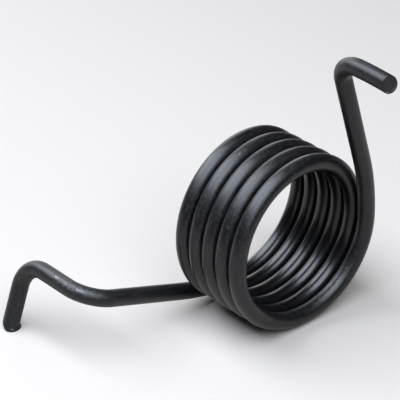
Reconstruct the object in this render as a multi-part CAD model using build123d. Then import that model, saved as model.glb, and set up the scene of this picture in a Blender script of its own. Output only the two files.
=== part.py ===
from build123d import *
import math
import os

# Torsion spring: one round wire wound into a right-hand coil, with two bent legs.
#
# The coil's axis is the Y axis, and the origin is the middle of the coil on that axis.
# Z is up. The near leg leaves the -Y end of the coil on its +X side and stands up, and
# its hook points away from the coil. The far leg leaves the +Y end of the coil just past
# its bottom, towards -X. Its arm runs away from the coil too, and its tip comes down and
# is cut level with the underside of the coil, so that the spring lies on both.
#
# Lengths are in millimetres and angles in degrees. The lengths of the runs are taken
# along the wire's centre line, from corner to corner. A corner is the point where two
# straight runs would meet if the bend between them were sharp.

# Wire
wire_diameter = 5.0
end_rounding = 0.2  # at the edge of each cut end

# Coil
coil_inner_diameter = 42.0
turn_gap = 0.4  # free space between neighbouring turns
whole_turns = 5
opening_radius = 72.0  # centre line of the easy bend between the coil and each leg

# Near leg
near_leg_start = 1.3  # where the coil ends, above its +X side
near_opening = 16.2  # turn of the easy bend
near_leg_length = 37.3  # from the end of the easy bend to the hook
hook_length = 19.0
hook_bend_inside = 5.2  # radius at the inside of the bend

# Far leg
far_leg_start = 4.5  # where the coil ends, past its bottom
far_opening = 15.9
far_leg_length = 35.6  # from the end of the easy bend to the arm
arm_length = 27.4
arm_bend_inside = 6.1
tip_slant = 20.8  # from upright
tip_bend_inside = 5.3

# Sizes that follow from those above
wire_radius = wire_diameter / 2
coil_radius = coil_inner_diameter / 2 + wire_radius
coil_pitch = wire_diameter + turn_gap
coil_sweep = near_leg_start + 360 * whole_turns + 90 + far_leg_start
coil_length = coil_pitch * coil_sweep / 360
rest_level = -(coil_radius + wire_radius)

axial = Vector(0, 1, 0)


def square_to_axis(angle):
    """Unit vector square to the coil's axis, at an angle from +X towards +Z."""
    return Vector(math.cos(math.radians(angle)), 0, math.sin(math.radians(angle)))


def coil_line():
    """Centre line of the coil, a right-hand helix from the near leg to the far leg."""
    near_end = Plane(
        origin=axial * (-coil_length / 2),
        x_dir=square_to_axis(near_leg_start),
        z_dir=axial,
    )
    helix = Edge.make_helix(pitch=coil_pitch, height=coil_length, radius=coil_radius)
    return helix.moved(near_end.location)


def opening_line(coil_end, leaving, leg_direction):
    """Easy bend from an end of the coil, where the wire leaves it, to a straight leg."""
    half_turn = math.radians(leaving.get_angle(leg_direction)) / 2
    tangent_length = opening_radius * math.tan(half_turn)
    leg_start = coil_end + (leaving + leg_direction) * tangent_length
    return TangentArc(coil_end, leg_start, tangent=leaving)


def near_opening_line(coil):
    """Easy bend from the near end of the coil, turning up over the coil."""
    leaving = -(coil % 0)
    rising = leaving.rotate(Axis.Y, -near_opening)
    return opening_line(coil @ 0, leaving, rising)


def far_opening_line(coil):
    """Easy bend from the far end of the coil, turning up and into line with X and Z."""
    rising = square_to_axis(180 - far_leg_start - far_opening)
    return opening_line(coil @ 1, coil % 1, rising)


def near_leg_line(opening):
    """Near leg from the end of its easy bend to the hook's cut end."""
    leg_start = opening @ 1
    hook_corner = leg_start + (opening % 1) * near_leg_length
    hook_end = hook_corner - axial * hook_length
    hook_bend_radius = hook_bend_inside + wire_radius
    return FilletPolyline(leg_start, hook_corner, hook_end, radius=[hook_bend_radius])


def far_leg_line(opening):
    """Far leg from the end of its easy bend to past the tip's cut end."""
    leg_start = opening @ 1
    arm_corner = leg_start + (opening % 1) * far_leg_length
    tip_corner = arm_corner + axial * arm_length

    # The tip runs on past the rest level until its whole section is below it.
    slant = math.radians(tip_slant)
    tip_drop = tip_corner.Z - rest_level + wire_diameter * math.sin(slant)
    falling = square_to_axis(-90 - tip_slant)
    tip_end = tip_corner + falling * (tip_drop / math.cos(slant))

    return FilletPolyline(
        leg_start,
        arm_corner,
        tip_corner,
        tip_end,
        radius=[arm_bend_inside + wire_radius, tip_bend_inside + wire_radius],
    )


def centre_line():
    """Centre line of the whole wire, from the hook's cut end to past the tip's."""
    coil = coil_line()
    near_opening_arc = near_opening_line(coil)
    far_opening_arc = far_opening_line(coil)
    runs = [
        near_leg_line(near_opening_arc),
        near_opening_arc,
        coil,
        far_opening_arc,
        far_leg_line(far_opening_arc),
    ]
    return Wire([edge for run in runs for edge in run.edges()])


def tip_offcut(line):
    """Block that takes the end of the tip off, level with the underside of the coil."""
    tip_end = min((line @ 0, line @ 1), key=lambda end: end.Z)
    width = 4 * wire_diameter
    block = Box(width, width, width, align=(Align.CENTER, Align.CENTER, Align.MAX))
    return Pos(tip_end.X, tip_end.Y, rest_level) * block


def torsion_spring():
    """The spring as one length of round wire, with the edges of its cut ends rounded."""
    line = centre_line()
    start = Plane(origin=line @ 0, z_dir=line % 0)
    wire = sweep(start * Circle(wire_radius), path=line) - tip_offcut(line)
    cut_faces = wire.faces().filter_by(GeomType.PLANE)
    return fillet(cut_faces.edges(), end_rounding)


os.makedirs("parts", exist_ok=True)
export_step(torsion_spring(), "parts/torsion_spring.step")
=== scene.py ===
"""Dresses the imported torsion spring: the wire's finish, its two cut ends, floor, lights and camera.

The frame is the spring's own. The origin is the middle of the coil on its axis, +Y runs along
that axis and +Z is up. Sizes are written in millimetres, as on a spring maker's drawing, and
turned into metres where Blender needs them.
"""

import logging
import math
from dataclasses import dataclass, field
from enum import Enum

import bpy
from mathutils import Matrix, Vector, noise
from mathutils.bvhtree import BVHTree

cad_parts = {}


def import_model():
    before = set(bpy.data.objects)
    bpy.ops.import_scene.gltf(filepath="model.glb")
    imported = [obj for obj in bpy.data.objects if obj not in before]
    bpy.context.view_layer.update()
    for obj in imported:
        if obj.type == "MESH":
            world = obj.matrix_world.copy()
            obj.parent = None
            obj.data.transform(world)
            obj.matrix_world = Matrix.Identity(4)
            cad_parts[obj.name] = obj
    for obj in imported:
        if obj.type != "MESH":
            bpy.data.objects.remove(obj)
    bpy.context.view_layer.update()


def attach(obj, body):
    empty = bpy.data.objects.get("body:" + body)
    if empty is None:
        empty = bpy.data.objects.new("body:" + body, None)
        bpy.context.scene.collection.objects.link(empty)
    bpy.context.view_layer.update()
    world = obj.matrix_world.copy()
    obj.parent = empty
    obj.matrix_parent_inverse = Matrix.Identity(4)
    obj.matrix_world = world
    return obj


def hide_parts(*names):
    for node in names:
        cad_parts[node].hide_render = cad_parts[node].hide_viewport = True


MM = 0.001
AXIAL = Vector((0.0, 1.0, 0.0))
UP = Vector((0.0, 0.0, 1.0))
CAD_NODE = "torsion_spring"
BODY = "root"
WIRE_MAP = "wire"
BAKE_MAP = "OFBake"
Colour = tuple[float, float, float]
Span = tuple[float, float]
log = logging.getLogger("spring")


def square_to_axis(angle: float) -> Vector:
    """Gives a direction square to the coil's axis.

    Args:
        angle: Degrees from +X towards +Z.

    Returns:
        A unit vector.
    """
    return Vector((math.cos(math.radians(angle)), 0.0, math.sin(math.radians(angle))))


@dataclass
class Station:
    """One place along the wire: its centre, where the wire heads, and two sides square to it."""

    centre: Vector
    heading: Vector
    side: Vector
    top: Vector

    def moved(self, shift: Vector) -> "Station":
        """Returns the station carried along by a shift."""
        return Station(self.centre + shift, self.heading, self.side, self.top)

    def turned(self, pivot: Vector, turn: Matrix) -> "Station":
        """Returns the station carried round a pivot by a rotation."""
        centre = pivot + turn @ (self.centre - pivot)
        return Station(centre, turn @ self.heading, turn @ self.side, turn @ self.top)

    def reversed(self) -> "Station":
        """Returns the same place with the wire heading the other way."""
        return Station(self.centre, -self.heading, self.side, self.top)

    def outward(self, angle: float) -> Vector:
        """Returns the direction out of the wire at an angle round it, in radians from side."""
        return self.side * math.cos(angle) + self.top * math.sin(angle)


@dataclass
class WirePath:
    """The centre line of a leg, made as a wire bender makes it, by straight feeds and bends.

    Lengths are in millimetres and start at the first station. A run between two corners is
    measured from corner to corner, where the straight stretches would meet.
    """

    stations: list[Station]
    longest_step: float = 1.5
    widest_turn: float = 4.0
    corner: Vector = field(default_factory=Vector)
    setback: float = 0.0

    def straight(self, length: float) -> None:
        """Feeds the wire straight ahead.

        Args:
            length: How far.
        """
        start = self.stations[-1]
        steps = max(1, math.ceil(length / self.longest_step))
        for step in range(1, steps + 1):
            self.stations.append(start.moved(start.heading * (length * step / steps)))

    def bend(self, heading: Vector, radius: float) -> None:
        """Bends the wire round an arc until it heads another way.

        Args:
            heading: The unit vector that the wire follows after the bend.
            radius: The bend's radius at the wire's centre line.
        """
        start = self.stations[-1]
        axis = start.heading.cross(heading).normalized()
        pivot = start.centre + axis.cross(start.heading) * radius
        angle = start.heading.angle(heading)
        steps_by_turn = math.degrees(angle) / self.widest_turn
        steps_by_length = angle * radius / self.longest_step
        steps = math.ceil(max(steps_by_turn, steps_by_length))
        for step in range(1, steps + 1):
            turn = Matrix.Rotation(angle * step / steps, 3, axis)
            self.stations.append(start.turned(pivot, turn))

    def run_to_corner(self, run: float, heading: Vector, radius: float) -> None:
        """Feeds the wire to a sharp corner and bends it there.

        Args:
            run: The distance from the last corner, or from the start, to this corner.
            heading: The unit vector that the wire follows after the corner.
            radius: The bend's radius at the wire's centre line.
        """
        start = self.stations[-1]
        self.corner = start.centre + start.heading * (run - self.setback)
        setback = radius * math.tan(start.heading.angle(heading) / 2)
        self.straight(run - self.setback - setback)
        self.bend(heading, radius)
        self.setback = setback

    def run_to_end(self, run: float) -> None:
        """Feeds the wire from the last corner to its cut end.

        Args:
            run: The distance from the last corner.
        """
        self.straight(run - self.setback)

    def sag_to_end(self, run: float, towards: Vector, sag: float) -> None:
        """Feeds the wire from the last corner to its cut end, with a very easy bend.

        Args:
            run: The distance from the last corner.
            towards: The side that the wire bends to, a unit vector square to its heading.
            sag: Degrees that the cut end is turned by.
        """
        turn = math.radians(sag)
        heading = self.stations[-1].heading * math.cos(turn) + towards * math.sin(turn)
        self.bend(heading, (run - self.setback) / turn)


@dataclass
class SpringForm:
    """The bent wire's sizes, in millimetres and degrees, and the centre line they give."""

    wire_diameter: float = 5.0
    end_rounding: float = 0.2

    coil_inner_diameter: float = 42.0
    turn_gap: float = 0.4
    whole_turns: int = 5
    opening_radius: float = 72.0
    coil_step: float = 2.5

    near_leg_start: float = 1.3
    near_opening: float = 16.2
    near_leg_length: float = 37.3
    hook_length: float = 19.0
    hook_bend_inside: float = 5.2
    hook_sag: float = 8.5

    far_leg_start: float = 4.5
    far_opening: float = 15.9
    far_leg_length: float = 35.6
    arm_length: float = 27.4
    arm_bend_inside: float = 6.1
    tip_slant: float = 20.8
    tip_bend_inside: float = 5.3

    @property
    def wire_radius(self) -> float:
        """Half the wire's diameter."""
        return self.wire_diameter / 2

    @property
    def coil_radius(self) -> float:
        """The coil's radius at the wire's centre line."""
        return self.coil_inner_diameter / 2 + self.wire_radius

    @property
    def rest_level(self) -> float:
        """The height of the surface that the spring lies on."""
        return -(self.coil_radius + self.wire_radius)

    def coil(self) -> list[Station]:
        """Winds the coil as a right-hand helix.

        Returns:
            Stations from the near leg to the far leg, with each side facing out of the coil.
        """
        sweep = self.near_leg_start + 360 * self.whole_turns + 90 + self.far_leg_start
        pitch = self.wire_diameter + self.turn_gap
        length = pitch * sweep / 360
        out = square_to_axis(self.near_leg_start)
        around = AXIAL.cross(out)
        slope = pitch / (2 * math.pi * self.coil_radius)
        heading = (around + AXIAL * slope).normalized()
        centre = out * self.coil_radius - AXIAL * (length / 2)
        start = Station(centre, heading, out, heading.cross(out))
        steps = round(sweep / self.coil_step)
        stations = []
        for step in range(steps + 1):
            turn = Matrix.Rotation(math.radians(sweep * step / steps), 3, AXIAL)
            wound = start.turned(Vector(), turn)
            stations.append(wound.moved(AXIAL * (length * step / steps)))
        return stations

    def near_leg(self, coil_start: Station) -> list[Station]:
        """Bends the near leg away from the coil.

        Args:
            coil_start: The coil's first station.

        Returns:
            Stations from the coil to the hook's cut end.
        """
        path = WirePath([coil_start.reversed()])
        opening = Matrix.Rotation(-math.radians(self.near_opening), 3, AXIAL)
        path.bend(opening @ path.stations[0].heading, self.opening_radius)
        radius, rising = self.hook_bend_inside + self.wire_radius, path.stations[-1].heading
        path.run_to_corner(self.near_leg_length, -AXIAL, radius)
        path.sag_to_end(self.hook_length, -rising, self.hook_sag)
        return path.stations

    def far_leg(self, coil_end: Station) -> list[Station]:
        """Bends the far leg away from the coil.

        Args:
            coil_end: The coil's last station.

        Returns:
            Stations from the coil to the middle of the tip's cut, which is level.
        """
        path = WirePath([coil_end])
        rising = square_to_axis(180 - self.far_leg_start - self.far_opening)
        path.bend(rising, self.opening_radius)
        arm_radius = self.arm_bend_inside + self.wire_radius
        path.run_to_corner(self.far_leg_length, AXIAL, arm_radius)
        falling = square_to_axis(-90 - self.tip_slant)
        tip_radius = self.tip_bend_inside + self.wire_radius
        path.run_to_corner(self.arm_length, falling, tip_radius)
        drop = path.corner.z - self.rest_level
        path.run_to_end(drop / math.cos(math.radians(self.tip_slant)))
        return path.stations

    def centre_line(self) -> list[Station]:
        """Joins the legs and the coil.

        Returns:
            Stations from the hook's cut end to the tip's.
        """
        coil = self.coil()
        near_leg = [station.reversed() for station in self.near_leg(coil[0])]
        return near_leg[:0:-1] + coil + self.far_leg(coil[-1])[1:]


class Cut(Enum):
    """How an end of the wire was cut."""

    SAWN = "sawn"
    SHEARED = "sheared"


@dataclass
class CutEnd:
    """A cut end of the wire, as rings of points from the wire's skin to the face's middle.

    Sizes are in millimetres. The cut may stand at a slant to the wire. A sawn end has an even
    rounded edge and a shallow dish, whose rim and wall are shares of the face's radius. A
    sheared end is rolled over where the blade came in, and has a torn lip where it left.
    """

    station: Station
    outwards: Vector
    square: Vector
    cut: Cut
    radius: float
    rounding: float
    blade_side: Vector = field(default_factory=Vector)
    roll_depth: float = 2.1
    roll_inset: float = 2.3
    roll_width: float = 2.0
    roll_fullness: float = 0.62
    lip: float = 0.75
    lip_width: float = 0.6
    flare: float = 1.2
    dish: float = 0.3
    dish_rim: float = 0.93
    dish_wall: float = 0.18
    roughness: float = 0.06
    rough_scale: float = 2.2
    rough_rise: float = 8.0
    edge_steps: int = 7
    face_shares: tuple[float, ...] = (0.96, 0.9, 0.84, 0.78, 0.7, 0.55, 0.38, 0.2)

    @property
    def longest_edge(self) -> float:
        """The distance behind the cut's middle that the edge and the flare take up."""
        slope = self.outwards.cross(self.square).length / self.outwards.dot(self.square)
        edge = self.rounding if self.cut is Cut.SAWN else max(self.roll_depth, self.flare)
        return edge + self.radius * slope

    def towards_blade(self, angle: float) -> float:
        """Returns 1 at the side where the blade came in, and -1 where it left."""
        return self.station.outward(angle).dot(self.blade_side)

    def rolled(self, angle: float, size: float) -> float:
        """Returns how much of the edge is rounded off at an angle, given the most it can be."""
        if self.cut is Cut.SAWN:
            return self.rounding
        share = max(0.0, self.towards_blade(angle)) ** self.roll_width
        return self.rounding + (size - self.rounding) * share

    def swell(self, angle: float, depth: float) -> float:
        """Returns how far the torn lip stands out, at an angle and a depth behind the cut."""
        if self.cut is Cut.SAWN:
            return 0.0
        torn = max(0.0, -self.towards_blade(angle)) ** self.lip_width
        return self.lip * torn * max(0.0, 1 - depth / self.flare) ** 2

    def point(self, angle: float, depth: float, reach: float) -> Vector:
        """Returns the point at a depth behind the cut and a distance from the wire's axis."""
        across = self.station.outward(angle) * reach
        slide = -across.dot(self.square) / self.outwards.dot(self.square)
        return self.station.centre + across + self.outwards * (slide - depth)

    def edge_point(self, angle: float, share: float) -> Vector:
        """Returns a point of the rounded edge.

        Args:
            angle: Radians round the wire.
            share: How far round the edge, from 0 at the skin to 1 at the face.

        Returns:
            The point.
        """
        turn, power = share * math.pi / 2, self.roll_fullness
        depth = self.rolled(angle, self.roll_depth) * (1 - math.sin(turn)) ** power
        inset = self.rolled(angle, self.roll_inset) * (1 - math.cos(turn)) ** power
        return self.point(angle, depth, self.radius - inset + self.swell(angle, depth))

    def flare_point(self, angle: float, share: float) -> Vector:
        """Returns a point of the flare behind the edge, from share 0 to 1."""
        edge = self.rolled(angle, self.roll_depth)
        depth = max(self.roll_depth, self.flare) * (1 - share) + edge * share
        return self.point(angle, depth, self.radius + self.swell(angle, depth))

    def face_point(self, angle: float, share: float) -> Vector:
        """Returns a point of the cut face, slightly rough and never proud of the cut.

        Args:
            angle: Radians round the wire.
            share: The distance from the wire's axis, as a share of the face's radius.

        Returns:
            The point.
        """
        rim = self.radius - self.rolled(angle, self.roll_inset) + self.swell(angle, 0.0)
        rough = 0.5 + 0.5 * noise.noise(self.point(angle, 0.0, rim * share) * self.rough_scale)
        depth = self.roughness * rough * min(1.0, self.rough_rise * (1 - share))
        if self.cut is Cut.SAWN:
            slope = min(1.0, max(0.0, (self.dish_rim - share) / self.dish_wall))
            depth += self.dish * slope * slope * (3 - 2 * slope)
        return self.point(angle, depth, rim * share)

    def edge_rings(self, angles: list[float]) -> list[list[Vector]]:
        """Makes the rings from the wire's skin to the cut face's rim."""
        shares = [step / self.edge_steps for step in range(self.edge_steps + 1)]
        flare = [[self.flare_point(angle, share) for angle in angles] for share in shares[:-1]]
        if self.cut is Cut.SAWN:
            flare = []
        return flare + [[self.edge_point(angle, share) for angle in angles] for share in shares]

    def face_rings(self, angles: list[float]) -> list[list[Vector]]:
        """Makes the rings of the cut face, from its rim inwards."""
        shares = self.face_shares
        return [[self.face_point(angle, share) for angle in angles] for share in shares]


class Finish(Enum):
    """The finishes of the wire's surface, by material slot."""

    COATING = 0
    CUT_FACE = 1


@dataclass
class SpringWire:
    """The spring's wire, with its whole skin as one closed mesh."""

    form: SpringForm = field(default_factory=SpringForm)
    name: str = "spring_wire"
    segments: int = 64
    coat_inset: float = 0.02
    coated_rings: int = 3
    saw_trim: float = 0.66
    saw_square: Vector = field(default_factory=lambda: Vector((-0.196, -0.967, 0.165)))
    blade_side: Vector = field(default_factory=lambda: Vector((-0.67, 0.69, 0.28)))
    least_gap: float = 0.05
    bake_rows: int = 8
    bake_gap: float = 0.03
    rings: list[list[Vector]] = field(default_factory=list)
    bands: list[Finish] = field(default_factory=list)
    lengths: list[float] = field(default_factory=list)
    spans: list[Span] = field(default_factory=list)
    skin: BVHTree | None = None

    def angles(self) -> list[float]:
        """Returns the angles of a ring's points round the wire."""
        return [2 * math.pi * index / self.segments for index in range(self.segments)]

    def ends(self, line: list[Station]) -> tuple[CutEnd, CutEnd]:
        """Describes the two cut ends.

        Args:
            line: The centre line's stations.

        Returns:
            The hook's end and the tip's end.
        """
        radius, rounding = self.form.wire_radius - self.coat_inset, self.form.end_rounding
        start = line[0].moved(line[0].heading * self.saw_trim)
        square = self.saw_square.normalized()
        hook = CutEnd(start, -start.heading, square, Cut.SAWN, radius, rounding)
        end, falling = line[-1].moved(UP * self.coat_inset), line[-1].heading
        across = self.blade_side - falling * self.blade_side.dot(falling)
        tip = CutEnd(end, falling, -UP, Cut.SHEARED, radius, rounding, across.normalized())
        return hook, tip

    def add_rings(self, rings: list[list[Vector]], finish: Finish) -> None:
        """Lays more rings, and a band of one finish before each.

        Args:
            rings: The new rings' points.
            finish: The finish of the bands.
        """
        for ring in rings:
            if self.rings:
                steps = [(new - old).length for new, old in zip(ring, self.rings[-1])]
                self.lengths.append(self.lengths[-1] + sum(steps) / len(steps))
                self.bands.append(finish)
            else:
                self.lengths.append(0.0)
            self.rings.append(ring)

    def lay_skin(self) -> None:
        """Lays rings over the hook's end, along the wire and over the tip's end."""
        line, angles = self.form.centre_line(), self.angles()
        hook, tip = self.ends(line)
        face, rim = hook.face_rings(angles)[::-1], self.coated_rings
        self.add_rings(face[:-rim], Finish.CUT_FACE)
        self.add_rings(face[-rim:] + hook.edge_rings(angles)[::-1], Finish.COATING)
        for station in line:
            from_hook = (station.centre - hook.station.centre).length - hook.longest_edge
            from_tip = (station.centre - tip.station.centre).length - tip.longest_edge
            if min(from_hook, from_tip) > self.least_gap:
                points = [station.centre + station.outward(a) * hook.radius for a in angles]
                self.add_rings([points], Finish.COATING)
        self.add_rings(tip.edge_rings(angles), Finish.COATING)
        self.add_rings(tip.face_rings(angles), Finish.CUT_FACE)

    def measure_bands(self, reach: float) -> list[Span]:
        """Returns each band's start and end along the skin, with the middles of both faces."""
        marks = [0.0] + [length + reach for length in self.lengths]
        marks.append(marks[-1] + reach)
        return list(zip(marks[:-1], marks[1:]))

    def band_faces(self, band: int) -> list[list[tuple[int, bool, float]]]:
        """Lists the faces of one band, between two rings or a ring and a face's middle.

        Args:
            band: The band's number, from the middle of the hook's face.

        Returns:
            Each face's corners, as a point's number, whether it is at the band's end, and its
            turn round the wire.
        """
        count, last = self.segments, len(self.rings)
        here, there = (band - 1) * count, band * count
        faces = []
        for index in range(count):
            after, turn, next_turn = (index + 1) % count, index / count, (index + 1) / count
            start = [(here + index, False, turn), (here + after, False, next_turn)]
            end = [(there + after, True, next_turn), (there + index, True, turn)]
            if band == 0:
                start = [(last * count, False, (turn + next_turn) / 2)]
            elif band == last:
                end = [(last * count + 1, True, (turn + next_turn) / 2)]
            faces.append(start + end)
        return faces

    def band_finish(self, band: int) -> Finish:
        """Returns the finish of a band."""
        on_middle = band in (0, len(self.rings))
        return Finish.CUT_FACE if on_middle else self.bands[band - 1]

    def bake_places(self) -> list[tuple[int, float]]:
        """Spreads the bands over the rows of the bake map, where no two faces overlap.

        Returns:
            Each band's row, and where along the skin that row starts.
        """
        rows, starts = [], {}
        for start, end in self.spans:
            row = int(self.bake_rows * (start + end) / 2 / self.spans[-1][1])
            rows.append((row, starts.setdefault(row, start)))
        return rows

    def build(self) -> bpy.types.Object:
        """Makes the closed mesh.

        Returns:
            The wire as an object in the spring's frame.
        """
        self.lay_skin()
        middles = [sum(ring, Vector()) / self.segments for ring in (self.rings[0], self.rings[-1])]
        points = [point for ring in self.rings for point in ring] + middles
        self.spans = self.measure_bands((self.rings[0][0] - middles[0]).length)
        rows = self.bake_places()
        longest = max(end - row_start for (_, end), (_, row_start) in zip(self.spans, rows))
        faces, wire_map, bake_map, slots = [], [], [], []
        for band, ((start, end), (row, row_start)) in enumerate(zip(self.spans, rows)):
            for face in self.band_faces(band):
                faces.append([point for point, _, _ in face])
                slots.append(self.band_finish(band).value)
                for _, at_end, turn in face:
                    length = end if at_end else start
                    across = self.bake_gap + (1 - 2 * self.bake_gap) * turn
                    wire_map += (length * MM, turn)
                    bake_map += ((length - row_start) / longest, (row + across) / self.bake_rows)
        self.skin = BVHTree.FromPolygons(points, faces)
        mesh = bpy.data.meshes.new(self.name)
        mesh.from_pydata([point * MM for point in points], [], faces)
        for title, places in ((WIRE_MAP, wire_map), (BAKE_MAP, bake_map)):
            mesh.uv_layers.new(name=title).data.foreach_set("uv", places)
        mesh.polygons.foreach_set("material_index", slots)
        mesh.polygons.foreach_set("use_smooth", [True] * len(faces))
        mesh.update()
        piece = bpy.data.objects.new(self.name, mesh)
        bpy.context.scene.collection.objects.link(piece)
        return piece

    def seen(self, eye: Vector, sight: Vector) -> Vector:
        """Follows a line of sight to the built wire.

        Args:
            eye: Where the line starts.
            sight: The direction it takes.

        Returns:
            The place that it meets, on the wire as if it were straight.

        Raises:
            ValueError: The line misses the wire.
        """
        _, _, face, _ = self.skin.ray_cast(eye, sight)
        if face is None:
            raise ValueError("a line of sight misses the wire")
        band, step = divmod(face, self.segments)
        turn, radius = 2 * math.pi * (step + 0.5) / self.segments, self.form.wire_radius
        return Vector((sum(self.spans[band]) / 2, math.cos(turn) * radius, math.sin(turn) * radius))


@dataclass(frozen=True)
class Viewpoint:
    """Where the spring is looked at from, and the square picture that this gives.

    Lengths are in millimetres, apart from the clipping distances in metres, and angles in
    degrees. A place in the picture is in pixels, right and down from its top left corner.
    """

    aim: Vector = field(default_factory=lambda: Vector((-12.202, 16.212, 6.749)))
    azimuth: float = -41.277
    elevation: float = 31.489
    roll: float = -1.097
    distance: float = 577.12
    lens: float = 184.83
    sensor_width: float = 36.0
    clip: Span = (0.05, 20.0)
    picture_width: float = 400.0

    @property
    def axes(self) -> Matrix:
        """The picture's right and up and the way back to the eye, as a matrix's columns."""
        turn, rise = math.radians(self.azimuth), math.radians(self.elevation)
        right = Vector((math.cos(turn), math.sin(turn), 0.0))
        back = UP * math.sin(rise) - UP.cross(right) * math.cos(rise)
        level = Matrix((right, back.cross(right), back)).transposed()
        return Matrix.Rotation(math.radians(self.roll), 3, back) @ level

    @property
    def eye(self) -> Vector:
        """The place that the spring is looked at from."""
        return self.aim + self.axes.col[2] * self.distance

    def sight(self, right: float, down: float) -> Vector:
        """Returns the unit vector from the eye through a place in the picture."""
        pixel, middle = self.sensor_width / self.picture_width, self.picture_width / 2
        across = Vector(((right - middle) * pixel, (middle - down) * pixel, -self.lens))
        return (self.axes @ across).normalized()


class NodeSheet:
    """Places and joins the nodes of one material or node group."""

    spacing = (220, 260)
    in_a_row = 8
    mix_colours = (6, 7)
    mix_result = 2

    def __init__(self, tree: bpy.types.NodeTree) -> None:
        """Starts on an empty sheet."""
        self.tree = tree
        self.tree.nodes.clear()

    def add(self, kind: str, **settings: object) -> bpy.types.Node:
        """Places a node.

        Args:
            kind: Blender's name for the node's type.
            settings: Values for the node's own properties.

        Returns:
            The node.
        """
        node = self.tree.nodes.new(kind)
        down, across = divmod(len(self.tree.nodes), self.in_a_row)
        node.location = (self.spacing[0] * across, -self.spacing[1] * down)
        for key, value in settings.items():
            setattr(node, key, value)
        return node

    def put(self, target: bpy.types.NodeSocket, value: object) -> None:
        """Joins a socket to another, or sets it to a plain value."""
        if isinstance(value, bpy.types.NodeSocket):
            self.tree.links.new(value, target)
        else:
            target.default_value = value

    def maths(self, operation: str, *values: object) -> bpy.types.NodeSocket:
        """Works on numbers.

        Args:
            operation: The Math node's operation.
            values: Sockets or plain numbers.

        Returns:
            The result's socket.
        """
        node = self.add("ShaderNodeMath", operation=operation)
        for target, value in zip(node.inputs, values):
            self.put(target, value)
        return node.outputs[0]

    def vector(self, operation: str, *values: object) -> bpy.types.NodeSocket:
        """Works on vectors, and returns the vector result's socket."""
        node = self.add("ShaderNodeVectorMath", operation=operation)
        for target, value in zip(node.inputs, values):
            self.put(target, value)
        return node.outputs[0]

    def axes(self, vector: object) -> bpy.types.NodeOutputs:
        """Splits a vector and returns its three sockets."""
        node = self.add("ShaderNodeSeparateXYZ")
        self.put(node.inputs[0], vector)
        return node.outputs

    def length(self, vector: object) -> bpy.types.NodeSocket:
        """Measures a vector and returns its length's socket."""
        node = self.add("ShaderNodeVectorMath", operation="LENGTH")
        self.put(node.inputs[0], vector)
        return node.outputs["Value"]

    def fade(self, value: object, span: Span, ends: Span = (0.0, 1.0)) -> bpy.types.NodeSocket:
        """Fades smoothly between two numbers.

        Args:
            value: The socket to read.
            span: The readings at which the fade starts and ends.
            ends: The results up to the span and past it.

        Returns:
            The result's socket.
        """
        node = self.add("ShaderNodeMapRange", interpolation_type="SMOOTHSTEP")
        for name, number in zip(("From Min", "From Max", "To Min", "To Max"), span + ends):
            node.inputs[name].default_value = number
        self.put(node.inputs["Value"], value)
        return node.outputs[0]

    def grain(
        self, place: object, scale: object, detail: float, rough: float = 0.5
    ) -> bpy.types.NodeSocket:
        """Places a noise texture and returns its value."""
        node = self.add("ShaderNodeTexNoise", noise_dimensions="3D")
        self.put(node.inputs["Vector"], place)
        self.put(node.inputs["Scale"], scale)
        node.inputs["Detail"].default_value = detail
        node.inputs["Roughness"].default_value = rough
        return node.outputs[0]

    def blend(self, share: object, first: object, second: object) -> bpy.types.NodeSocket:
        """Mixes two colours by a share and returns the result's socket."""
        node = self.add("ShaderNodeMix", data_type="RGBA")
        self.put(node.inputs[0], share)
        for index, colour in zip(self.mix_colours, (first, second)):
            self.put(node.inputs[index], colour)
        return node.outputs[self.mix_result]

    def place_group(self, tree: bpy.types.NodeTree, **values: object) -> bpy.types.Node:
        """Places a node group with its own values.

        Args:
            tree: The group.
            values: Sockets or numbers by input name, with _ for a space.

        Returns:
            The group's node.
        """
        node = self.add("ShaderNodeGroup", node_tree=tree)
        for key, value in values.items():
            self.put(node.inputs[key.replace("_", " ")], value)
        return node

    def finish(self, shader: bpy.types.Node, height: bpy.types.NodeSocket | None = None) -> None:
        """Ends a material.

        Args:
            shader: The surface's shader.
            height: The surface's fine relief in millimetres, if it has one.
        """
        if height is not None:
            bump = self.add("ShaderNodeBump")
            bump.inputs["Strength"].default_value = 1.0
            bump.inputs["Distance"].default_value = MM
            self.put(bump.inputs["Height"], height)
            self.put(shader.inputs["Normal"], bump.outputs[0])
        out = self.add("ShaderNodeOutputMaterial")
        self.put(out.inputs["Surface"], shader.outputs[0])


class EffectGroup:
    """A surface effect that several finishes share, as a node group."""

    title = "effect"
    numbers: dict[str, float] = {}
    results: tuple[str, ...] = ()

    def build(self) -> bpy.types.NodeTree:
        """Makes the group once, or returns the one already made."""
        made = bpy.data.node_groups.get(self.title)
        if made is not None:
            return made
        tree = bpy.data.node_groups.new(self.title, "ShaderNodeTree")
        tree.interface.new_socket("Place", in_out="INPUT", socket_type="NodeSocketVector")
        for title, number in self.numbers.items():
            socket = tree.interface.new_socket(title, in_out="INPUT", socket_type="NodeSocketFloat")
            socket.default_value = number
        for title in self.results:
            tree.interface.new_socket(title, in_out="OUTPUT", socket_type="NodeSocketFloat")
        sheet = NodeSheet(tree)
        entry, leave = sheet.add("NodeGroupInput"), sheet.add("NodeGroupOutput")
        self.draw(sheet, entry.outputs, leave.inputs)
        return tree

    def draw(self, sheet: NodeSheet, given: bpy.types.NodeOutputs, wanted: bpy.types.NodeInputs) -> None:
        """Draws the effect between the group's inputs and outputs."""
        raise NotImplementedError


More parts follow.
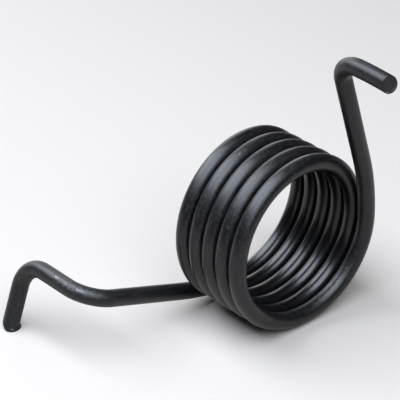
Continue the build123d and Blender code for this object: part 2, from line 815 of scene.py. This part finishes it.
class DrawnGrain(EffectGroup):
    """Fine lines along the wire, left by the drawing die and the coiling tools."""

    title = "drawn_grain"
    numbers = {"Line Length": 9.0, "Line Width": 0.22}
    results = ("Lines", "Streaks")
    spreads = (1.0, 3.4)
    detail = 2.0

    def draw(self, sheet: NodeSheet, given: bpy.types.NodeOutputs, wanted: bpy.types.NodeInputs) -> None:
        """Draws narrow lines and wider, softer streaks."""
        axes = sheet.axes(given["Place"])
        for title, spread in zip(self.results, self.spreads):
            join = sheet.add("ShaderNodeCombineXYZ")
            length = sheet.maths("MULTIPLY", given["Line Length"], spread)
            width = sheet.maths("MULTIPLY", given["Line Width"], spread)
            for target, place, size in zip(join.inputs, axes, (length, width, width)):
                sheet.put(target, sheet.maths("DIVIDE", place, size))
            sheet.put(wanted[title], sheet.grain(join.outputs[0], 1.0, self.detail))


class CoatMottle(EffectGroup):
    """The uneven skin of a black coating over steel."""

    title = "coat_mottle"
    numbers = {"Grain Size": 0.45}
    results = ("Grain", "Clouds")
    detail = 3.0
    grain_rough = 0.6
    clouds_to_grain = 0.11

    def draw(self, sheet: NodeSheet, given: bpy.types.NodeOutputs, wanted: bpy.types.NodeInputs) -> None:
        """Draws a fine grain and broad clouds."""
        scale = sheet.maths("DIVIDE", 1.0, given["Grain Size"])
        fine = sheet.grain(given["Place"], scale, self.detail, self.grain_rough)
        sheet.put(wanted["Grain"], fine)
        broad = sheet.maths("MULTIPLY", scale, self.clouds_to_grain)
        sheet.put(wanted["Clouds"], sheet.grain(given["Place"], broad, self.detail))


@dataclass(frozen=True)
class WearAndGlintSpot:
    """A small spot laid on the wire's colour: rubbed coating, rust, or a painted highlight.

    It is picked in the viewpoint's picture, in pixels right and down. Its length along the wire
    and its width are half sizes in millimetres.
    """

    name: str
    right: float
    down: float
    length: float
    width: float
    strength: float
    edge: Span = (0.4, 1.0)

    def mask(self, sheet: NodeSheet, place: bpy.types.NodeSocket, centre: Vector) -> bpy.types.NodeSocket:
        """Masks the spot.

        Args:
            sheet: The material's sheet.
            place: The place on the wire as if it were straight, in millimetres.
            centre: The spot's own place, likewise.

        Returns:
            The mask's socket, from 0 to the spot's strength.
        """
        off = sheet.vector("SUBTRACT", place, centre)
        off.node.label = self.name
        off = sheet.vector("DIVIDE", off, (self.length, self.width, self.width))
        return sheet.fade(sheet.length(off), self.edge, (self.strength, 0.0))


@dataclass(frozen=True)
class BlackCoating:
    """A satin black coating over drawn steel wire.

    Sizes are in millimetres. A span gives the readings where a mask starts and where it ends: of
    a grain, of the length along the wire, or of the distance from the coil's axis in coil radii.
    """

    wire: SpringWire
    view: Viewpoint
    name: str = "black_spring_wire"
    gloss: float = 1.43
    black: Colour = (0.0014, 0.00145, 0.0016)
    brown: Colour = (0.0076, 0.006, 0.005)
    brown_share: float = 0.5
    brown_clouds: Span = (0.5, 0.72)
    dust: Colour = (0.0105, 0.0107, 0.0111)
    dust_grain: Span = (0.48, 0.69)
    # Pale steel colour of the rubbed spots, also used for the painted highlights on the hook's bend and
    # the cut ends.
    bare_and_glint: Colour = (0.16, 0.16, 0.155)
    rust: Colour = (0.05, 0.025, 0.012)
    spot_grain: Span = (0.42, 0.6)
    roughness: float = 0.355
    uneven: float = 0.24
    dulled_roughness: float = 0.46
    hook_part: Span = (25.0, 55.0)
    arm_part: Span = (865.0, 895.0)
    arbor_roughness: float = 0.26
    arbor_smoothing: float = 0.9
    arbor_part: Span = (160.0, 220.0)
    arbor_reach: Span = (0.96, 1.02)
    grain_size: float = 0.65
    grain_depth: float = 0.009
    line_depth: float = 0.0012
    # Pale spots: most are rubbed coating; the sawn end's rim, the hook's bend and the sheared end's lip
    # are painted highlights.
    rubbed_and_glints: tuple[WearAndGlintSpot, ...] = (
        WearAndGlintSpot("arm, towards the tip", 58.0, 278.5, 1.3, 0.5, 0.9),
        WearAndGlintSpot("arm, middle", 65.0, 283.0, 1.2, 0.5, 0.6),
        WearAndGlintSpot("arm, towards the coil", 79.5, 290.5, 1.6, 0.6, 0.7),
        WearAndGlintSpot("arm, all along", 65.0, 283.0, 12.0, 2.0, 0.12),
        WearAndGlintSpot("inside of the first turn", 338.0, 280.0, 1.4, 0.4, 0.4),
        WearAndGlintSpot("inside of the first turn, higher", 346.0, 269.0, 1.0, 0.35, 0.3),
        WearAndGlintSpot("inside of the first turn, lower", 330.0, 284.0, 0.9, 0.4, 0.4),
        # Painted highlight: a pale stretch of the sawn end's rim, where its bevel catches the light at the
        # lower left.
        WearAndGlintSpot("painted highlight on the rim of the sawn end", 385.5, 91.0, 0.6, 1.6, 0.35),
        # Painted highlight: a pale spot where the inside of the hook's bend catches the softbox's light.
        WearAndGlintSpot("painted highlight inside the hook's bend", 348.5, 78.5, 1.1, 0.8, 0.6),
        # Painted highlight: a small pale glint on the sheared end's lip, where its facet catches the
        # light.
        WearAndGlintSpot("painted glint on the lip of the sheared end", 11.3, 329.3, 0.35, 0.6, 0.5),
        WearAndGlintSpot("top of the coil", 240.6, 153.6, 0.5, 0.35, 0.4),
        WearAndGlintSpot("tip, upper part", 19.5, 278.0, 0.7, 0.35, 0.25),
        WearAndGlintSpot("tip, lower part", 18.6, 306.0, 0.7, 0.35, 0.25),
        WearAndGlintSpot("outside of the first turn", 254.0, 303.5, 0.5, 0.4, 0.3),
    )
    rusted: tuple[WearAndGlintSpot, ...] = (
        WearAndGlintSpot("inside of the third turn", 309.0, 261.0, 1.7, 0.7, 0.9),
        WearAndGlintSpot("inside of the second turn", 318.5, 273.0, 1.7, 0.7, 0.9),
        WearAndGlintSpot("inside of the first turn, rust", 328.5, 284.0, 1.4, 0.5, 0.6),
    )

    def wire_place(self, sheet: NodeSheet) -> bpy.types.NodeSocket:
        """Gives each point its place on the wire as if it were straight, in millimetres."""
        unwrap = sheet.axes(sheet.add("ShaderNodeUVMap", uv_map=WIRE_MAP).outputs[0])
        join = sheet.add("ShaderNodeCombineXYZ")
        turn = sheet.maths("MULTIPLY", unwrap[1], 2 * math.pi)
        sheet.put(join.inputs[0], sheet.maths("DIVIDE", unwrap[0], MM))
        for axis, operation in ((1, "COSINE"), (2, "SINE")):
            side = sheet.maths("MULTIPLY", sheet.maths(operation, turn), self.wire.form.wire_radius)
            sheet.put(join.inputs[axis], side)
        return join.outputs[0]

    def polish(self, sheet: NodeSheet, place: bpy.types.NodeSocket) -> bpy.types.NodeSocket:
        """Masks the inside of the coil, which the arbor has rubbed smooth after the first turn."""
        spot = sheet.add("ShaderNodeTexCoord").outputs["Object"]
        reach = sheet.length(sheet.vector("MULTIPLY", spot, (1.0, 0.0, 1.0)))
        reach = sheet.maths("DIVIDE", reach, self.wire.form.coil_radius * MM)
        inside = sheet.fade(reach, self.arbor_reach, (1.0, 0.0))
        bearing = sheet.fade(sheet.axes(place)[0], self.arbor_part)
        return sheet.maths("MULTIPLY", inside, bearing)

    def dulled(self, sheet: NodeSheet, place: bpy.types.NodeSocket) -> bpy.types.NodeSocket:
        """Masks the hook and the arm, whose finish the bending tools have dulled."""
        along = sheet.axes(place)[0]
        hook = sheet.fade(along, self.hook_part, (1.0, 0.0))
        return sheet.maths("ADD", hook, sheet.fade(along, self.arm_part))

    def marks_and_glints(
        self, sheet: NodeSheet, place: bpy.types.NodeSocket, spots: tuple[WearAndGlintSpot, ...]
    ) -> bpy.types.NodeSocket:
        """Joins the masks of several spots of wear, rust or painted highlight into one."""
        most = 0.0
        for spot in spots:
            centre = self.wire.seen(self.view.eye, self.view.sight(spot.right, spot.down))
            most = sheet.maths("MAXIMUM", most, spot.mask(sheet, place, centre))
        return most

    def smoothed(
        self, sheet: NodeSheet, polish: bpy.types.NodeSocket, full: float
    ) -> bpy.types.NodeSocket:
        """Lessens an unevenness where the arbor has smoothed the wire."""
        return sheet.maths("MULTIPLY_ADD", polish, -self.arbor_smoothing * full, full)

    def colour(
        self, sheet: NodeSheet, place: bpy.types.NodeSocket, polish: bpy.types.NodeSocket,
        mottle: bpy.types.Node,
    ) -> bpy.types.NodeSocket:
        """Lays brown clouds, dust, rust, rubbed spots and painted highlights over the black.

        Args:
            sheet: The material's sheet.
            place: The place on the wire as if it were straight, in millimetres.
            polish: The mask of what the arbor has smoothed.
            mottle: The coating's mottle group.

        Returns:
            The colour's socket.
        """
        grain = mottle.outputs["Grain"]
        brown = sheet.fade(mottle.outputs["Clouds"], self.brown_clouds, (0.0, self.brown_share))
        colour = sheet.blend(brown, (*self.black, 1.0), (*self.brown, 1.0))
        dusty = sheet.fade(grain, self.dust_grain)
        dusty = sheet.maths("MULTIPLY", dusty, sheet.maths("SUBTRACT", 1.0, polish))
        colour = sheet.blend(dusty, colour, (*self.dust, 1.0))
        flecks = sheet.fade(grain, self.spot_grain)
        # The pale pass paints rubbed coating and also the highlights on the hook's bend and the cut ends.
        for spots, marks_and_glints in ((self.rusted, self.rust), (self.rubbed_and_glints, self.bare_and_glint)):
            share = sheet.maths("MULTIPLY", self.marks_and_glints(sheet, place, spots), flecks)
            colour = sheet.blend(share, colour, (*marks_and_glints, 1.0))
        return colour

    def build(self) -> bpy.types.Material:
        """Makes the material.

        Returns:
            The coating, with its lines, mottle and marks.
        """
        material = bpy.data.materials.new(self.name)
        material.use_nodes = True
        sheet = NodeSheet(material.node_tree)
        place = self.wire_place(sheet)
        polish = self.polish(sheet, place)
        lines = sheet.place_group(DrawnGrain().build(), Place=place)
        mottle = sheet.place_group(CoatMottle().build(), Place=place, Grain_Size=self.grain_size)
        shader = sheet.add("ShaderNodeBsdfPrincipled")
        shader.inputs["IOR"].default_value = self.gloss
        sheet.put(shader.inputs["Base Color"], self.colour(sheet, place, polish, mottle))
        smoother, duller = self.arbor_roughness - self.roughness, self.dulled_roughness - self.roughness
        mean = sheet.maths("MULTIPLY_ADD", polish, smoother, self.roughness)
        mean = sheet.maths("MULTIPLY_ADD", self.dulled(sheet, place), duller, mean)
        grain = sheet.maths("ADD", mottle.outputs["Grain"], lines.outputs["Streaks"])
        grain = sheet.maths("SUBTRACT", grain, 1.0)
        spread = self.smoothed(sheet, polish, self.uneven)
        sheet.put(shader.inputs["Roughness"], sheet.maths("MULTIPLY_ADD", grain, spread, mean))
        height = sheet.maths("MULTIPLY", lines.outputs["Lines"], self.line_depth)
        depth = self.smoothed(sheet, polish, self.grain_depth)
        height = sheet.maths("MULTIPLY_ADD", mottle.outputs["Grain"], depth, height)
        sheet.finish(shader, height)
        return material


@dataclass(frozen=True)
class CutSteel:
    """The wire's cut face, dull and brownish where the steel has darkened."""

    name: str = "cut_steel"
    dark: Colour = (0.007, 0.0045, 0.0045)
    pale: Colour = (0.019, 0.0135, 0.0135)
    pale_grain: Span = (0.35, 0.7)
    gloss: float = 1.42
    roughness: float = 0.62
    grain_size: float = 0.7
    grain_depth: float = 0.03

    def build(self) -> bpy.types.Material:
        """Makes the material.

        Returns:
            The cut face's finish.
        """
        material = bpy.data.materials.new(self.name)
        material.use_nodes = True
        sheet = NodeSheet(material.node_tree)
        place = sheet.vector("SCALE", sheet.add("ShaderNodeTexCoord").outputs["Object"])
        place.node.inputs["Scale"].default_value = 1 / MM
        mottle = sheet.place_group(CoatMottle().build(), Place=place, Grain_Size=self.grain_size)
        shader = sheet.add("ShaderNodeBsdfPrincipled")
        shader.inputs["IOR"].default_value = self.gloss
        shader.inputs["Roughness"].default_value = self.roughness
        share = sheet.fade(mottle.outputs["Grain"], self.pale_grain)
        colour = sheet.blend(share, (*self.dark, 1.0), (*self.pale, 1.0))
        sheet.put(shader.inputs["Base Color"], colour)
        sheet.finish(shader, sheet.maths("MULTIPLY", mottle.outputs["Grain"], self.grain_depth))
        return material


@dataclass(frozen=True)
class PaleBoard:
    """The plain matt board of the floor and the backdrop, which may be lit from behind."""

    name: str
    colour: Colour
    glow: float = 0.0

    def build(self) -> bpy.types.Material:
        """Makes the material."""
        material = bpy.data.materials.new(self.name)
        material.use_nodes = True
        sheet = NodeSheet(material.node_tree)
        shader = sheet.add("ShaderNodeBsdfPrincipled")
        shader.inputs["Base Color"].default_value = (*self.colour, 1.0)
        shader.inputs["Specular IOR Level"].default_value = 0.0
        shader.inputs["Roughness"].default_value = 1.0
        shader.inputs["Emission Color"].default_value = (*self.colour, 1.0)
        shader.inputs["Emission Strength"].default_value = self.glow
        sheet.finish(shader)
        return material


@dataclass
class Studio:
    """The floor, backdrop, soft light and camera.

    Lengths are in millimetres. How far the softbox reaches to the left, to the right and to each
    end is in box heights.
    """

    view: Viewpoint
    floor_level: float
    floor_width: float = 6000.0
    floor_colour: Colour = (0.343, 0.32, 0.29)
    wall_distance: float = 1300.0
    wall_height: float = 1120.0
    wall_heading: float = 70.0
    wall_width: float = 1330.0
    wall_colour: Colour = (0.8, 0.8, 0.8)
    wall_glow: float = 2.4
    box_height: float = 620.0
    box_left: float = 0.85
    box_right: float = 0.08
    box_half_length: float = 1.65
    box_radiance: float = 8.5
    box_colour: Colour = (0.91, 0.98, 1.12)
    room_radiance: float = 0.06

    def board(self, name: str, corners: list[Vector], colour: Colour, glow: float) -> bpy.types.Object:
        """Puts up a flat board.

        Args:
            name: The board's name.
            corners: Its corners, in millimetres.
            colour: Its colour.
            glow: How brightly it is lit from behind.

        Returns:
            The board.
        """
        mesh = bpy.data.meshes.new(name)
        mesh.from_pydata([corner * MM for corner in corners], [], [tuple(range(len(corners)))])
        mesh.materials.append(PaleBoard(f"{name}_finish", colour, glow).build())
        board = bpy.data.objects.new(name, mesh)
        bpy.context.scene.collection.objects.link(board)
        return board

    def build(self) -> None:
        """Sets up the floor, backdrop, light, surroundings and camera."""
        half, level = self.floor_width / 2, UP * self.floor_level
        places = ((-half, -half), (half, -half), (half, half), (-half, half))
        corners = [level + Vector((x, y, 0.0)) for x, y in places]
        self.board("floor", corners, self.floor_colour, 0.0)
        turn = math.radians(self.wall_heading)
        away = Vector((math.cos(turn), math.sin(turn), 0.0))
        foot, rise = level + away * self.wall_distance, UP * self.wall_height
        side = away.cross(UP) * (self.wall_width / 2)
        corners = [foot - side, foot + side, foot + side + rise, foot - side + rise]
        self.board("backdrop", corners, self.wall_colour, self.wall_glow)
        self.light()
        self.camera()

    def light(self) -> None:
        """Hangs the softbox and sets the dim room around it."""
        lamp = bpy.data.lights.new("softbox", "AREA")
        lamp.shape = "RECTANGLE"
        height = self.box_height
        lamp.size = (self.box_left + self.box_right) * height * MM
        lamp.size_y = 2 * self.box_half_length * height * MM
        lamp.color = self.box_colour
        lamp.energy = self.box_radiance * math.pi * lamp.size * lamp.size_y
        box = bpy.data.objects.new("softbox", lamp)
        box.location = Vector(((self.box_right - self.box_left) / 2 * height, 0, height)) * MM
        bpy.context.scene.collection.objects.link(box)
        world = bpy.data.worlds.new("room")
        world.use_nodes = True
        sheet = NodeSheet(world.node_tree)
        glow = sheet.add("ShaderNodeBackground")
        glow.inputs["Strength"].default_value = self.room_radiance
        glow.inputs["Color"].default_value = (1.0, 1.0, 1.0, 1.0)
        sheet.put(sheet.add("ShaderNodeOutputWorld").inputs["Surface"], glow.outputs[0])
        bpy.context.scene.world = world
        bpy.context.scene.view_settings.view_transform = "Standard"

    def camera(self) -> None:
        """Sets up the camera at the viewpoint."""
        lens = bpy.data.cameras.new("camera")
        lens.lens, lens.sensor_width = self.view.lens, self.view.sensor_width
        lens.clip_start, lens.clip_end = self.view.clip
        camera = bpy.data.objects.new("camera", lens)
        camera.rotation_mode = "QUATERNION"
        camera.rotation_quaternion = self.view.axes.to_quaternion()
        camera.location = self.view.eye * MM
        bpy.context.scene.collection.objects.link(camera)
        bpy.context.scene.camera = camera


def main() -> None:
    """Loads the frame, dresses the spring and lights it."""
    logging.basicConfig(level=logging.INFO, format="%(name)s: %(message)s")
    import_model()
    wire, view = SpringWire(), Viewpoint()
    piece = wire.build()
    piece.data.materials.append(BlackCoating(wire, view).build())
    piece.data.materials.append(CutSteel().build())
    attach(piece, BODY)
    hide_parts(CAD_NODE)
    log.info("%s: %d faces, %.1f mm over its skin", piece.name, len(piece.data.polygons), wire.lengths[-1])
    Studio(view, wire.form.rest_level).build()
    log.info("studio: floor, backdrop, softbox and camera")


if __name__ == "__main__":
    main()
